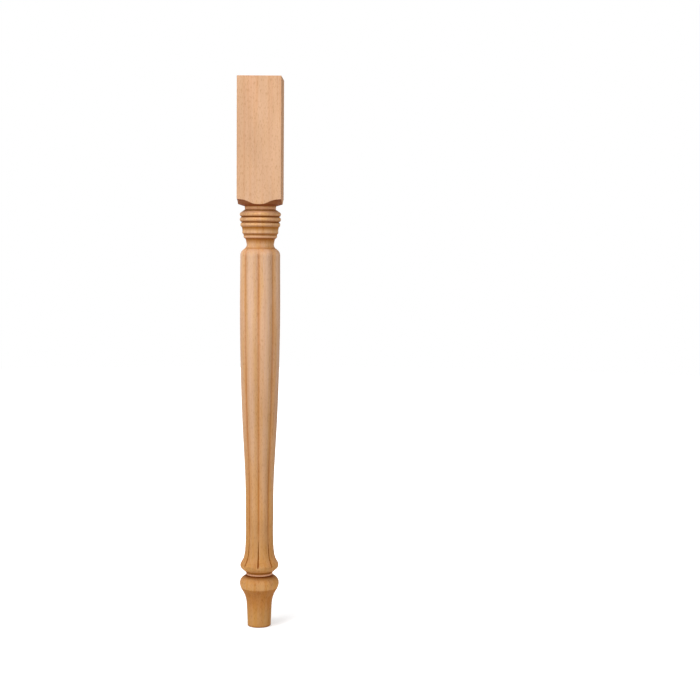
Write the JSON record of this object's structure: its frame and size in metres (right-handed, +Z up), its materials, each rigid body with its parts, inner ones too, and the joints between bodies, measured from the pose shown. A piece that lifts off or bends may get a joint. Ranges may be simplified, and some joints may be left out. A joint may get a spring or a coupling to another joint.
{
  "type": "table leg",
  "caption": "Turned wooden table leg: square block with tongued shoulders, beaded vase, long tapering reeded shaft, flared rim, bulb and tapering foot.",
  "frame": {"origin": "centre of the foot's flat bottom, on the leg's axis", "axes": "+Z up along the leg's axis from the foot to the top of the block; X and Y square to the block's faces"},
  "size_m": [0.0584, 0.0584, 0.737],
  "materials": {
    "wood": "beech-like hardwood, turned and fine sanded, raw with a faint satin sheen"
  },
  "bodies": {
    "root": {"turned_leg": "wood"}
  },
  "joints": []
}
